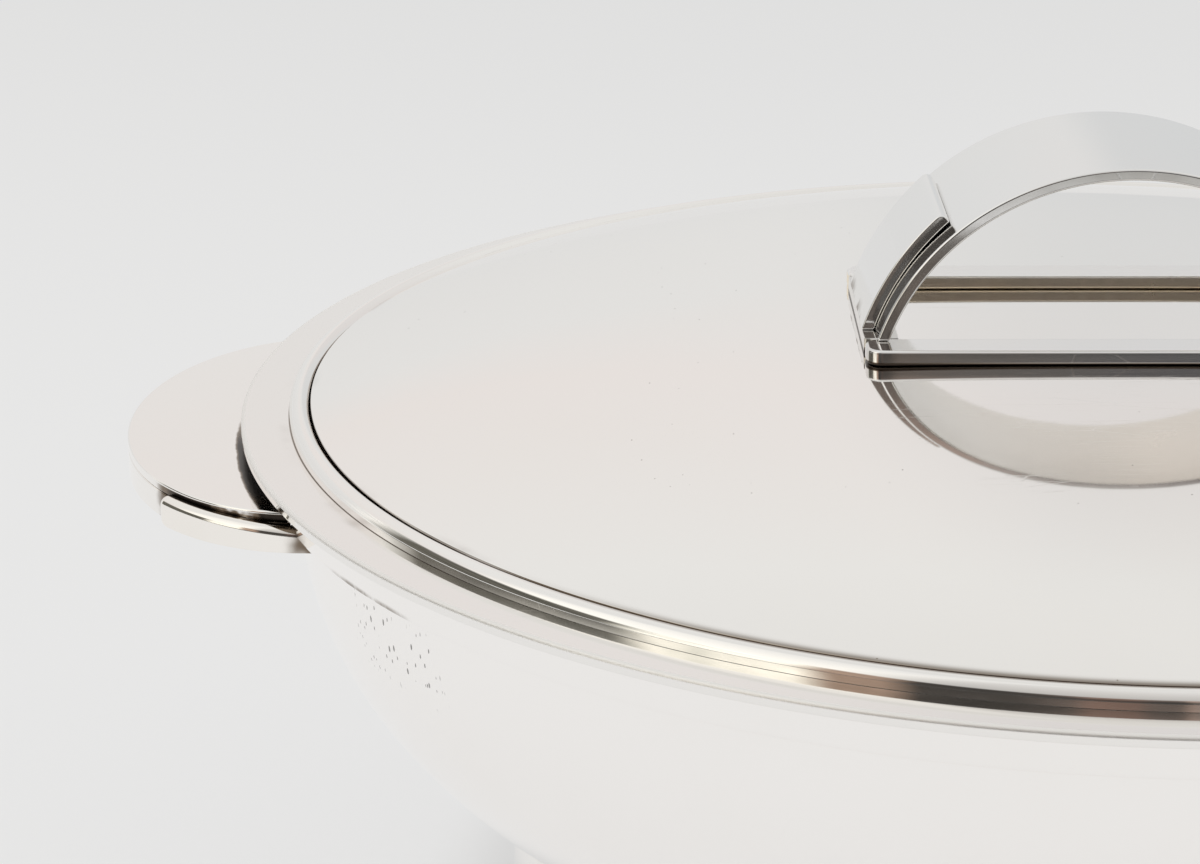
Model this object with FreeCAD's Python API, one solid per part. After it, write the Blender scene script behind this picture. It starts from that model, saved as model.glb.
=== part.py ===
# Covered soup tureen in polished silver: a round bowl on a ring foot, with a flat rim and two ear handles,
# and a shallow crowned lid with an arched strip finial on a low rectangular base.
#
# Frame: millimetres, +Z up, origin at the centre of the foot on the table. The handles lie along X.
# Heights are measured from the table. Each piece is a closed solid of its own, written to parts/NODE.step.

import FreeCAD, Part

import math
import os

# ---------------------------------------------------------------- driving dimensions, bowl
RIM_RADIUS = 120.0          # outer edge of the flat rim
RIM_TOP = 76.0              # upper face of the rim
RIM_THICKNESS = 1.6
RIM_BORE = 107.6            # the lid's collar drops through this
RIM_EDGE_ROUND = 0.45
BAND_RADIUS = 117.0         # applied band under the rim
BAND_BOTTOM = RIM_TOP - 6.5
BOWL_RADIUS = 112.8         # outside of the bowl at the band
BOWL_SHOULDER = RIM_TOP - 6.8   # the wall is upright above this height and round below it
BOWL_BOTTOM = RIM_TOP - 69.3
BOWL_POWER = 2.35           # roundness of the section: 2 would be an ellipse
BOWL_WALL = 1.6
FOOT_RADIUS = 83.0
FOOT_WALL = 1.8
FOOT_EDGE_ROUND = 0.6

# ---------------------------------------------------------------- driving dimensions, handles
EAR_CENTRE = 109.6          # the ear's outline is half an ellipse about this point on the X axis
EAR_REACH = 26.4            # half axis outwards
EAR_HALF_WIDTH = 39.05      # half axis along Y
EAR_TOP = RIM_TOP - 3.3
EAR_PLATE = 1.4
EAR_SKIRT = 1.5             # thickness of the strip round the plate's edge
EAR_SKIRT_BOTTOM = RIM_TOP - 8.3
EAR_STRAP = 1.8             # outer layer of strip beside the bowl
EAR_STRAP_TOP = RIM_TOP - 4.2
EAR_STRAP_BOTTOM = RIM_TOP - 8.4
EAR_STRAP_START = 229.0     # degrees round the half ellipse where the strap's free end is
EAR_STRAP_TIP = 1.6         # degrees that the rounded free end stands out
EAR_LEG_END = 100.0         # legs run straight to here before they are trimmed to the bowl

# ---------------------------------------------------------------- driving dimensions, lid
LID_EDGE_RADIUS = 110.5     # edge of the crowned sheet
LID_EDGE_TOP = RIM_TOP + 1.96
LID_CROWN = RIM_TOP + 10.9  # upper face at the centre
LID_POWER = 3.67            # nearly flat in the middle, falling away towards the edge
LID_SHEET = 1.2
SEAT_GAP = 0.3              # shadow gap between the lid's bead and the rim
BEAD_RADIUS = 113.4
BEAD_INNER = 110.75
BEAD_CREASE = RIM_TOP + 1.0     # top of the bead's upright face
BEAD_CREST = RIM_TOP + 2.3
BEAD_CREST_RADIUS = 112.0
BEAD_TAIL_RADIUS = 107.0    # flat tail of the bead ring under the lid's edge
BEAD_TAIL_TOP = RIM_TOP + 0.72
BEAD_GROOVE = 0.2           # depth of the groove between the bead and the sheet
COLLAR_RADIUS = 106.6       # collar that keeps the lid centred in the bowl
COLLAR_WALL = 1.4
COLLAR_BOTTOM = RIM_TOP - 6.0
COLLAR_TOP = RIM_TOP + 1.5

# ---------------------------------------------------------------- driving dimensions, finial
ARCH_HALF_SPAN = 35.1       # outside of the arched strip is half an ellipse
ARCH_RISE = 33.5
ARCH_CENTRE = RIM_TOP + 3.05
ARCH_STRIP = 1.56
ARCH_HALF_WIDTH = 16.8
BASE_TOP = RIM_TOP + 12.9   # the strip stands on the base at this height
BASE_HALF_LENGTH = 35.2
BASE_HALF_WIDTH = 21.2
BAR_WIDTH = 6.0
BAR_CORNER = 1.2
END_BAR_WIDTH = 4.6
STRAP_THICKNESS = 1.32      # second layer on the outside of each leg
STRAP_HALF_WIDTH = 11.45
STRAP_END_ANGLE = 49.5      # degrees round the half ellipse from its side to the strap's free end
STRAP_TIP_ANGLE = 1.1       # degrees that the rounded free end stands out
BASE_BLOCK = 4.0            # height of a base bar before its underside is fitted to the lid

SOLDER_GAP = 0.04           # keeps neighbouring pieces from sharing volume
CURVE_POINTS = 25

Z_AXIS = FreeCAD.Vector(0, 0, 1)
ORIGIN = FreeCAD.Vector(0, 0, 0)


# ---------------------------------------------------------------- drawing helpers
def section_vector(radius, height):
    """A point of a section drawn in the XZ plane."""
    return FreeCAD.Vector(radius, 0, height)


def plan_vector(x, y, height):
    return FreeCAD.Vector(x, y, height)


def polyline(points):
    return [Part.LineSegment(a, b).toShape() for a, b in zip(points, points[1:])]


def smooth(points):
    """One smooth curve through the points."""
    curve = Part.BSplineCurve()
    curve.interpolate(points)
    return [curve.toShape()]


def arc(start, middle, end):
    return [Part.Arc(start, middle, end).toShape()]


def corner(centre_radius, centre_height, size, start_angle):
    """A quarter circle in the XZ plane, anticlockwise from start_angle."""
    angles = [math.radians(start_angle + step) for step in (0, 45, 90)]
    points = [
        section_vector(centre_radius + size * math.cos(a), centre_height + size * math.sin(a)) for a in angles
    ]
    return arc(*points)


def face_from(edges):
    return Part.Face(Part.Wire(Part.__sortEdges__(edges)))


def turned(edges):
    """The closed section turned once round the Z axis."""
    return face_from(edges).revolve(ORIGIN, Z_AXIS, 360)


def extruded(edges, direction):
    return face_from(edges).extrude(direction)


def rounded_ring(inner, outer, bottom, top, edge_round):
    """A flat ring whose outer edges are rounded."""
    edges = polyline([section_vector(outer - edge_round, top), section_vector(inner, top),
                      section_vector(inner, bottom), section_vector(outer - edge_round, bottom)])
    edges += corner(outer - edge_round, bottom + edge_round, edge_round, 270)
    edges += polyline([section_vector(outer, bottom + edge_round), section_vector(outer, top - edge_round)])
    edges += corner(outer - edge_round, top - edge_round, edge_round, 0)
    return turned(edges)


def mirrored_x(shape):
    return shape.mirror(ORIGIN, FreeCAD.Vector(1, 0, 0))


def mirrored_y(shape):
    return shape.mirror(ORIGIN, FreeCAD.Vector(0, 1, 0))


# ---------------------------------------------------------------- bowl
def bowl_curve(turn, inset):
    """Point of the bowl's round section, turn = 0 at the shoulder and 1 at the bottom, inset from the outside."""
    def outside(t):
        angle = t * math.pi / 2
        radius = BOWL_RADIUS * max(math.cos(angle), 0.0) ** (2 / BOWL_POWER)
        drop = (BOWL_SHOULDER - BOWL_BOTTOM) * math.sin(angle) ** (2 / BOWL_POWER)
        return radius, BOWL_SHOULDER - drop

    step = 1e-4
    before = outside(max(turn - step, 0.0))
    after = outside(min(turn + step, 1.0))
    run = after[0] - before[0]
    fall = after[1] - before[1]
    length = math.hypot(run, fall)
    radius, height = outside(turn)
    if turn == 0.0:
        run, fall, length = 0.0, -1.0, 1.0
    if turn == 1.0:
        run, fall, length = -1.0, 0.0, 1.0
    return section_vector(radius + inset * fall / length, height - inset * run / length)


def bowl_turns():
    return [i / (CURVE_POINTS - 1) for i in range(CURVE_POINTS)]


def bowl_shell():
    outside = [bowl_curve(t, 0.0) for t in bowl_turns()]
    inside = [bowl_curve(t, BOWL_WALL) for t in bowl_turns()]
    top = RIM_TOP - RIM_THICKNESS - SOLDER_GAP
    edges = smooth(outside) + smooth(inside)
    edges += polyline([outside[-1], inside[-1]])
    edges += polyline([outside[0], section_vector(BOWL_RADIUS, top),
                       section_vector(BOWL_RADIUS - BOWL_WALL, top), inside[0]])
    return turned(edges)


def bowl_rim():
    return rounded_ring(RIM_BORE, RIM_RADIUS, RIM_TOP - RIM_THICKNESS, RIM_TOP, RIM_EDGE_ROUND)


def bowl_band():
    return rounded_ring(BOWL_RADIUS + SOLDER_GAP, BAND_RADIUS, BAND_BOTTOM,
                        RIM_TOP - RIM_THICKNESS - SOLDER_GAP, RIM_EDGE_ROUND)


def bowl_height_at(radius):
    """Height of the bowl's outside where it has this radius."""
    angle = math.acos((radius / BOWL_RADIUS) ** (BOWL_POWER / 2))
    return BOWL_SHOULDER - (BOWL_SHOULDER - BOWL_BOTTOM) * math.sin(angle) ** (2 / BOWL_POWER)


def foot_ring():
    inner = FOOT_RADIUS - FOOT_WALL
    edges = polyline([section_vector(FOOT_RADIUS, FOOT_EDGE_ROUND),
                      section_vector(FOOT_RADIUS, bowl_height_at(FOOT_RADIUS) - SOLDER_GAP),
                      section_vector(inner, bowl_height_at(inner) - SOLDER_GAP),
                      section_vector(inner, 0), section_vector(FOOT_RADIUS - FOOT_EDGE_ROUND, 0)])
    edges += corner(FOOT_RADIUS - FOOT_EDGE_ROUND, FOOT_EDGE_ROUND, FOOT_EDGE_ROUND, 270)
    return turned(edges)


def bowl_trim():
    """Solid block of the bowl and its band, a little oversize, that the handles are trimmed to."""
    outside = [bowl_curve(t, -SOLDER_GAP) for t in bowl_turns()]
    body = turned(smooth(outside) + polyline([outside[-1], section_vector(0, RIM_TOP),
                                              section_vector(outside[0].x, RIM_TOP), outside[0]]))
    band_bottom = plan_vector(0, 0, BAND_BOTTOM - SOLDER_GAP)
    band = Part.makeCylinder(BAND_RADIUS + SOLDER_GAP, RIM_TOP - band_bottom.z, band_bottom)
    return body.fuse(band)


# ---------------------------------------------------------------- handles, drawn on the -X side
def ear_point(degrees, offset, height):
    """Point of the ear's outline, 90 to 270 degrees from its +Y end to its -Y end, moved out by offset."""
    angle = math.radians(degrees)
    normal_x = math.cos(angle) / EAR_REACH
    normal_y = math.sin(angle) / EAR_HALF_WIDTH
    length = math.hypot(normal_x, normal_y)
    return plan_vector(-EAR_CENTRE + EAR_REACH * math.cos(angle) + offset * normal_x / length,
                       EAR_HALF_WIDTH * math.sin(angle) + offset * normal_y / length, height)


def ear_curve(start, end, offset, height):
    steps = CURVE_POINTS - 1
    return [ear_point(start + (end - start) * i / steps, offset, height) for i in range(CURVE_POINTS)]


def ear_plate():
    rim = ear_curve(90, 270, 0.0, EAR_TOP - EAR_PLATE)
    bottom = EAR_TOP - EAR_PLATE
    edges = smooth(rim) + polyline([rim[-1], plan_vector(-EAR_LEG_END, -EAR_HALF_WIDTH, bottom),
                                    plan_vector(-EAR_LEG_END, EAR_HALF_WIDTH, bottom), rim[0]])
    return extruded(edges, Z_AXIS * EAR_PLATE).cut(bowl_trim())


def ear_skirt():
    bottom = EAR_SKIRT_BOTTOM
    outer = ear_curve(90, 270, 0.0, bottom)
    inner = ear_curve(90, 270, -EAR_SKIRT, bottom)
    inner_y = EAR_HALF_WIDTH - EAR_SKIRT
    edges = smooth(outer) + smooth(inner)
    for side, near, far in ((1, outer[0], inner[0]), (-1, outer[-1], inner[-1])):
        edges += polyline([near, plan_vector(-EAR_LEG_END, side * EAR_HALF_WIDTH, bottom),
                           plan_vector(-EAR_LEG_END, side * inner_y, bottom), far])
    height = EAR_TOP - EAR_PLATE - SOLDER_GAP - bottom
    return extruded(edges, Z_AXIS * height).cut(bowl_trim())


def ear_strap():
    """Strap on the -Y end of the ear: it follows the skirt and ends on the bowl."""
    bottom = EAR_STRAP_BOTTOM
    inner = ear_curve(EAR_STRAP_START, 270, SOLDER_GAP, bottom)
    outer = ear_curve(EAR_STRAP_START, 270, SOLDER_GAP + EAR_STRAP, bottom)
    tip = ear_point(EAR_STRAP_START - EAR_STRAP_TIP, SOLDER_GAP + EAR_STRAP / 2, bottom)
    edges = smooth(inner) + smooth(outer) + arc(inner[0], tip, outer[0])
    edges += polyline([outer[-1], plan_vector(-EAR_LEG_END, outer[-1].y, bottom),
                       plan_vector(-EAR_LEG_END, inner[-1].y, bottom), inner[-1]])
    return extruded(edges, Z_AXIS * (EAR_STRAP_TOP - bottom)).cut(bowl_trim())


# ---------------------------------------------------------------- lid
def lid_height(radius):
    return LID_EDGE_TOP + (LID_CROWN - LID_EDGE_TOP) * (1 - (radius / LID_EDGE_RADIUS) ** LID_POWER)


def lid_curve(lowered):
    radii = [LID_EDGE_RADIUS * i / (CURVE_POINTS - 1) for i in range(CURVE_POINTS)]
    return [section_vector(r, lid_height(r) - lowered) for r in radii]


def lid_dome():
    upper = lid_curve(0.0)
    lower = lid_curve(LID_SHEET)
    return turned(smooth(upper) + smooth(lower) + polyline([upper[0], lower[0]]) + polyline([upper[-1], lower[-1]]))


def lid_bead():
    bottom = RIM_TOP + SEAT_GAP
    inner_top = section_vector(BEAD_INNER, LID_EDGE_TOP - BEAD_GROOVE)
    crease = section_vector(BEAD_RADIUS, BEAD_CREASE)
    edges = arc(inner_top, section_vector(BEAD_CREST_RADIUS, BEAD_CREST), crease)
    edges += polyline([crease, section_vector(BEAD_RADIUS, bottom), section_vector(BEAD_TAIL_RADIUS, bottom),
                       section_vector(BEAD_TAIL_RADIUS, BEAD_TAIL_TOP),
                       section_vector(BEAD_INNER, BEAD_TAIL_TOP), inner_top])
    return turned(edges)


def lid_collar():
    inner = COLLAR_RADIUS - COLLAR_WALL
    return turned(polyline([section_vector(inner, COLLAR_BOTTOM), section_vector(COLLAR_RADIUS, COLLAR_BOTTOM),
                            section_vector(COLLAR_RADIUS, COLLAR_TOP), section_vector(inner, COLLAR_TOP),
                            section_vector(inner, COLLAR_BOTTOM)]))


def lid_block():
    """Solid under the lid's upper face, a little oversize, that the finial's base is trimmed to."""
    upper = lid_curve(-SOLDER_GAP)
    return turned(smooth(upper) + polyline([upper[0], section_vector(0, RIM_TOP),
                                            section_vector(LID_EDGE_RADIUS, RIM_TOP), upper[-1]]))


# ---------------------------------------------------------------- finial
def base_bar(half_length, near_y, far_y):
    """A flat bar along X with rounded corners, whose underside is fitted to the lid."""
    corner_at = plan_vector(-half_length, near_y, BASE_TOP - BASE_BLOCK)
    block = Part.makeBox(2 * half_length, far_y - near_y, BASE_BLOCK, corner_at)
    upright = [e for e in block.Edges if abs(e.tangentAt(e.FirstParameter).z) > 0.9]
    return block.makeFillet(BAR_CORNER, upright).cut(lid_block())


def finial_bar():
    return base_bar(BASE_HALF_LENGTH, -BASE_HALF_WIDTH, -BASE_HALF_WIDTH + BAR_WIDTH)


def finial_end():
    """Short bar across the base's -X end, between the two long bars."""
    half_width = BASE_HALF_WIDTH - BAR_WIDTH - SOLDER_GAP
    block = Part.makeBox(END_BAR_WIDTH, 2 * half_width, BASE_BLOCK,
                         plan_vector(-BASE_HALF_LENGTH, -half_width, BASE_TOP - BASE_BLOCK))
    return block.cut(lid_block())


def arch_point(degrees, offset, y):
    """Point of the arch's outside, 0 degrees at +X and 90 at the top, moved out by offset."""
    angle = math.radians(degrees)
    normal_x = math.cos(angle) / ARCH_HALF_SPAN
    normal_z = math.sin(angle) / ARCH_RISE
    length = math.hypot(normal_x, normal_z)
    return FreeCAD.Vector(ARCH_HALF_SPAN * math.cos(angle) + offset * normal_x / length, y,
                          ARCH_CENTRE + ARCH_RISE * math.sin(angle) + offset * normal_z / length)


def arch_angle_at(height, offset):
    """Angle where the arch, moved out by offset, reaches this height."""
    low, high = 0.0, 60.0
    for _ in range(50):
        middle = (low + high) / 2
        if arch_point(middle, offset, 0).z < height:
            low = middle
        else:
            high = middle
    return (low + high) / 2


def arch_curve(start, end, offset, y):
    steps = CURVE_POINTS - 1
    return [arch_point(start + (end - start) * i / steps, offset, y) for i in range(CURVE_POINTS)]


def finial_arch():
    foot = BASE_TOP + SOLDER_GAP
    outer_angle = arch_angle_at(foot, 0.0)
    inner_angle = arch_angle_at(foot, -ARCH_STRIP)
    outer = arch_curve(outer_angle, 180 - outer_angle, 0.0, -ARCH_HALF_WIDTH)
    inner = arch_curve(inner_angle, 180 - inner_angle, -ARCH_STRIP, -ARCH_HALF_WIDTH)
    edges = smooth(outer) + smooth(inner) + polyline([outer[0], inner[0]]) + polyline([outer[-1], inner[-1]])
    return extruded(edges, FreeCAD.Vector(0, 2 * ARCH_HALF_WIDTH, 0))


def finial_strap():
    """Outer layer on the -X leg of the arch, with a rounded free end."""
    foot = BASE_TOP + SOLDER_GAP
    near = SOLDER_GAP
    far = SOLDER_GAP + STRAP_THICKNESS
    end = 180 - STRAP_END_ANGLE
    inner = arch_curve(180 - arch_angle_at(foot, near), end, near, -STRAP_HALF_WIDTH)
    outer = arch_curve(180 - arch_angle_at(foot, far), end, far, -STRAP_HALF_WIDTH)
    tip = arch_point(end - STRAP_TIP_ANGLE, (near + far) / 2, -STRAP_HALF_WIDTH)
    edges = smooth(inner) + smooth(outer) + polyline([inner[0], outer[0]]) + arc(inner[-1], tip, outer[-1])
    return extruded(edges, FreeCAD.Vector(0, 2 * STRAP_HALF_WIDTH, 0))


# ---------------------------------------------------------------- the assembly
def all_pieces():
    pieces = {
        "bowl_shell": bowl_shell(),
        "bowl_rim": bowl_rim(),
        "bowl_band": bowl_band(),
        "foot_ring": foot_ring(),
        "lid_dome": lid_dome(),
        "lid_bead": lid_bead(),
        "lid_collar": lid_collar(),
        "finial_arch": finial_arch(),
    }
    plate, skirt, strap = ear_plate(), ear_skirt(), ear_strap()
    for side, placed in (("left", lambda shape: shape), ("right", mirrored_x)):
        pieces[f"{side}_handle_plate"] = placed(plate)
        pieces[f"{side}_handle_skirt"] = placed(skirt)
        pieces[f"{side}_handle_strap_front"] = placed(strap)
        pieces[f"{side}_handle_strap_back"] = placed(mirrored_y(strap))
        pieces[f"finial_strap_{side}"] = placed(finial_strap())
        pieces[f"finial_end_{side}"] = placed(finial_end())
    pieces["finial_bar_front"] = finial_bar()
    pieces["finial_bar_back"] = mirrored_y(finial_bar())
    return pieces


def single_solid(name, shape):
    if not shape.isValid() or len(shape.Solids) != 1:
        raise ValueError(f"{name}: expected one valid solid, found {len(shape.Solids)}")
    solid = shape.Solids[0]
    if solid.Volume < 0:
        solid.reverse()
    return solid


os.makedirs("parts", exist_ok=True)
for node, shape in all_pieces().items():
    solid = single_solid(node, shape)
    solid.exportStep(f"parts/{node}.step")
    box = solid.BoundBox
    print(f"{node:28s} volume {solid.Volume:10.1f} mm3   "
          f"x {box.XMin:7.2f} {box.XMax:7.2f}   y {box.YMin:7.2f} {box.YMax:7.2f}   z {box.ZMin:6.2f} {box.ZMax:6.2f}")
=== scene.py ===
import math

import bmesh
import bpy
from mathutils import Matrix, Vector


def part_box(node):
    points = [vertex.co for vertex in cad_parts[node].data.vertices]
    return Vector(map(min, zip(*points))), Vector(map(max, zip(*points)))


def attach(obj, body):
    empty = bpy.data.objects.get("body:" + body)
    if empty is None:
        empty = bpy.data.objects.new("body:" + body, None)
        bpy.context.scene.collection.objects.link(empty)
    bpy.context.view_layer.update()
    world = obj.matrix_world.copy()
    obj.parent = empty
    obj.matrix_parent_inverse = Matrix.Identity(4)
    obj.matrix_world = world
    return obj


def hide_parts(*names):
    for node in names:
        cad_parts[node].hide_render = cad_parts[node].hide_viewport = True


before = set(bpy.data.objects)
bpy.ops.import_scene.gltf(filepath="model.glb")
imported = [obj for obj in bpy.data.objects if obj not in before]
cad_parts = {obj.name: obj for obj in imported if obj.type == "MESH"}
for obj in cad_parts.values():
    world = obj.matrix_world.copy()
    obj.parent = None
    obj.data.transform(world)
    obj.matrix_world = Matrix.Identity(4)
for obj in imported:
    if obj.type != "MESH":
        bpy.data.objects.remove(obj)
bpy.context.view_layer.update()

# Lengths below are in millimetres, in the frame's axes: +Z up from the table, handles along X, front at -Y.
MM = 0.001


def box_mm(node):
    """The low and high corners of a CAD node's box."""
    low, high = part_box(node)
    return low / MM, high / MM


# ---------------------------------------------------------------- sizes read from the frame
RIM_LOW, RIM_HIGH = box_mm("bowl_rim")
BAND_LOW, BAND_HIGH = box_mm("bowl_band")
BOWL_LOW, BOWL_HIGH = box_mm("bowl_shell")
FOOT_LOW, FOOT_HIGH = box_mm("foot_ring")
DOME_HIGH = box_mm("lid_dome")[1]
BEAD_HIGH = box_mm("lid_bead")[1]
COLLAR_LOW, COLLAR_HIGH = box_mm("lid_collar")
ARCH_LOW, ARCH_HIGH = box_mm("finial_arch")
BAR_LOW, BAR_HIGH = box_mm("finial_bar_front")
END_LOW, END_HIGH = box_mm("finial_end_left")
STRAP_LOW, STRAP_HIGH = box_mm("finial_strap_left")
PLATE_LOW, PLATE_HIGH = box_mm("left_handle_plate")
SKIRT_LOW, SKIRT_HIGH = box_mm("left_handle_skirt")
EAR_STRAP_LOW, EAR_STRAP_HIGH = box_mm("left_handle_strap_front")

RIM_TOP = RIM_HIGH.z
RIM_BORE = 107.6
SHEET = 1.6                 # thickness of the bowl's sheet
BOWL_SHOULDER = RIM_TOP - 6.8
BOWL_POWER = 2.35           # roundness of the bowl's section: 2 would be an ellipse
FOOT_WALL = 1.8
JOINT = 0.04                # gap between soldered pieces

EAR_CENTRE = 109.6          # the ear's outline is half an ellipse about this point on the X axis
EAR_REACH = -PLATE_LOW.x - EAR_CENTRE
EAR_HALF_WIDTH = PLATE_HIGH.y
EAR_SKIRT = 1.5
EAR_STRAP = 1.8
EAR_STRAP_START = 227.4     # degrees round the half ellipse where the strap's free end is
EAR_STRAP_LIP = 1.15        # radius of the strap's rolled upper lip
EAR_STRAP_FALL = 1.3        # how far its upper edge has fallen at the bowl
EAR_STRAP_LIFT = 0.25       # how much higher its lower edge is at the free end

LID_EDGE_TOP = RIM_TOP + 1.96
LID_POWER = 3.67            # the crown is nearly flat in the middle and falls away to the edge
LID_SHEET = 1.2
LID_EDGE_ROUND = 0.30
BEAD_CREST_RADIUS = 112.0
BEAD_TAIL_RADIUS = 107.0
BEAD_SIDE = 0.95            # height of the bead's upright outside
GROOVE_WIDTH = 0.16
GROOVE_DEPTH = 0.55
SEAT = 0.03                 # gap under the lid's bead
COLLAR_WALL = 1.4

ARCH_HALF_SPAN = 35.1       # the arch is half an ellipse
ARCH_CENTRE = RIM_TOP + 3.05
ARCH_STRIP = 1.56
FINIAL_STRAP = 1.65
FINIAL_STRAP_END = 47.7     # degrees round the half ellipse from its side to the strap's free end
FINIAL_SPRING = 0.22        # gap between the strap's free end and the arch
RAIL_CORNER = 2.2           # radius of the long bars' corners, seen from above

SEGMENTS = 384              # round the turned pieces
CORNER_STEPS = 8


# ---------------------------------------------------------------- drawing helpers
def quarter_round(distance, radius):
    """How far a rounded corner has fallen away at this distance from its end."""
    share = min(max(distance / radius, 0.0), 1.0)
    return radius * (1 - math.sqrt(1 - (1 - share) ** 2))


def rounded_outline(corners):
    """A closed outline of (u, v, radius) corners, each rounded with an arc of its radius."""
    points = []
    count = len(corners)
    for i, (u, v, radius) in enumerate(corners):
        here = Vector((u, v))
        before = Vector(corners[i - 1][:2]) - here
        after = Vector(corners[(i + 1) % count][:2]) - here
        if radius <= 0 or before.length == 0 or after.length == 0:
            points.append(here)
            continue
        before.normalize()
        after.normalize()
        half = before.angle(after) / 2
        reach = radius / math.tan(half)
        centre = here + (before + after).normalized() * (radius / math.sin(half))
        start = here + before * reach - centre
        end = here + after * reach - centre
        turn = math.atan2(start.x * end.y - start.y * end.x, start.dot(end))
        for step in range(CORNER_STEPS + 1):
            angle = turn * step / CORNER_STEPS
            points.append(centre + Vector((start.x * math.cos(angle) - start.y * math.sin(angle),
                                           start.x * math.sin(angle) + start.y * math.cos(angle))))
    return points


def new_piece(name, shape):
    mesh = bpy.data.meshes.new(name)
    shape.normal_update()
    shape.to_mesh(mesh)
    shape.free()
    piece = bpy.data.objects.new(name, mesh)
    bpy.context.scene.collection.objects.link(piece)
    for polygon in mesh.polygons:
        polygon.use_smooth = True
    return piece


def turned(name, outline):
    """The closed outline of (radius, height) points, turned once round the Z axis."""
    shape = bmesh.new()
    angles = [2 * math.pi * i / SEGMENTS for i in range(SEGMENTS)]
    rings = []
    for radius, height in outline:
        if radius < 1e-6:
            rings.append([shape.verts.new((0, 0, height * MM))] * SEGMENTS)
            continue
        out = radius * MM
        rings.append([shape.verts.new((out * math.cos(a), out * math.sin(a), height * MM)) for a in angles])
    for near, far in zip(rings, rings[1:] + rings[:1]):
        for i in range(SEGMENTS):
            j = (i + 1) % SEGMENTS
            corners = []
            for vert in (near[i], near[j], far[j], far[i]):
                if vert not in corners:
                    corners.append(vert)
            if len(corners) > 2:
                shape.faces.new(corners)
    bmesh.ops.recalc_face_normals(shape, faces=shape.faces)
    return weighted(new_piece(name, shape))


def weighted(piece):
    """Flat faces stay flat beside their rounded edges."""
    modifier = piece.modifiers.new("face_weighted_normals", "WEIGHTED_NORMAL")
    modifier.keep_sharp = False
    modifier.weight = 80
    return piece


def bevelled(piece, width, steps=4, angle=40.0):
    """Rounds the piece's corners sharper than the angle."""
    modifier = piece.modifiers.new("rounded_edges", "BEVEL")
    modifier.width = width * MM
    modifier.segments = steps
    modifier.limit_method = "ANGLE"
    modifier.angle_limit = math.radians(angle)
    modifier.miter_outer = "MITER_ARC"
    return weighted(piece)


def lying(a, b, level):
    """A prism's outline is level, and its levels are heights."""
    return Vector((a, b, level))


def standing(a, b, level):
    """A prism's outline stands in the XZ plane, and its levels lie along Y."""
    return Vector((a, level, b))


def prism(name, outline, low, high, place):
    """A closed outline of (a, b) points between two levels, placed lying or standing."""
    shape = bmesh.new()
    bottom = [shape.verts.new(place(a, b, low) * MM) for a, b in outline]
    top = [shape.verts.new(place(a, b, high) * MM) for a, b in outline]
    shape.faces.new(bottom)
    shape.faces.new(top)
    count = len(outline)
    for i in range(count):
        j = (i + 1) % count
        shape.faces.new((bottom[i], bottom[j], top[j], top[i]))
    bmesh.ops.recalc_face_normals(shape, faces=shape.faces)
    return new_piece(name, shape)


def strip(name, stations):
    """A solid whose sections are closed loops of points in millimetres, one for each station."""
    shape = bmesh.new()
    loops = [[shape.verts.new(Vector(point) * MM) for point in loop] for loop in stations]
    count = len(loops[0])
    for near, far in zip(loops, loops[1:]):
        for i in range(count):
            j = (i + 1) % count
            shape.faces.new((near[i], near[j], far[j], far[i]))
    shape.faces.new(loops[0])
    shape.faces.new(loops[-1])
    bmesh.ops.recalc_face_normals(shape, faces=shape.faces)
    return new_piece(name, shape)


def mirrored(piece, axis):
    """The piece's mesh, mirrored along the axis of this number."""
    shape = bmesh.new()
    shape.from_mesh(piece.data)
    for vert in shape.verts:
        vert.co[axis] = -vert.co[axis]
    bmesh.ops.recalc_face_normals(shape, faces=shape.faces)
    shape.to_mesh(piece.data)
    shape.free()
    return piece


def steps_between(start, end, count):
    """Evenly spaced values from start to end, both included, with count steps."""
    return [start + (end - start) * i / count for i in range(count + 1)]


# ---------------------------------------------------------------- bowl
def bowl_height(angle):
    """Height of the bowl's outside, where the angle is 0 at the shoulder and a quarter turn at the bottom."""
    return BOWL_SHOULDER - (BOWL_SHOULDER - BOWL_LOW.z) * math.sin(angle) ** (2 / BOWL_POWER)


def bowl_height_at(radius):
    return bowl_height(math.acos((radius / BOWL_HIGH.x) ** (BOWL_POWER / 2)))


def bowl_point(turn, inset):
    """Point of the bowl's section: turn is 0 at the shoulder and 1 at the bottom, inset from the outside."""
    def outside(t):
        angle = min(max(t, 0.0), 1.0) * math.pi / 2
        radius = BOWL_HIGH.x * max(math.cos(angle), 0.0) ** (2 / BOWL_POWER)
        return radius, bowl_height(angle)

    step = 1e-4
    before = outside(turn - step)
    after = outside(turn + step)
    run = after[0] - before[0]
    fall = after[1] - before[1]
    if turn <= 0:
        run, fall = 0.0, -1.0
    if turn >= 1:
        run, fall = -1.0, 0.0
    length = math.hypot(run, fall)
    radius, height = outside(turn)
    return Vector((max(radius + inset * fall / length, 0.0), height - inset * run / length))


def bowl_shell():
    """The bowl's sheet, with its points close together at the shoulder and at the bottom."""
    turns = [0.5 - 0.5 * math.cos(math.pi * share) for share in steps_between(0, 1, 72)]
    outside = [bowl_point(t, 0.0) for t in turns]
    inside = [bowl_point(t, SHEET) for t in reversed(turns)]
    top = BOWL_HIGH.z
    wall = [Vector((BOWL_HIGH.x - SHEET, top)), Vector((BOWL_HIGH.x, top))]
    return turned("bowl_shell_spun", outside + inside + wall)


def bowl_rim():
    return turned("bowl_rim_flange", rounded_outline([
        (RIM_BORE, RIM_LOW.z, 0.3), (RIM_HIGH.x, RIM_LOW.z, 0.4),
        (RIM_HIGH.x, RIM_TOP, 0.55), (RIM_BORE, RIM_TOP, 0.5)]))


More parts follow.
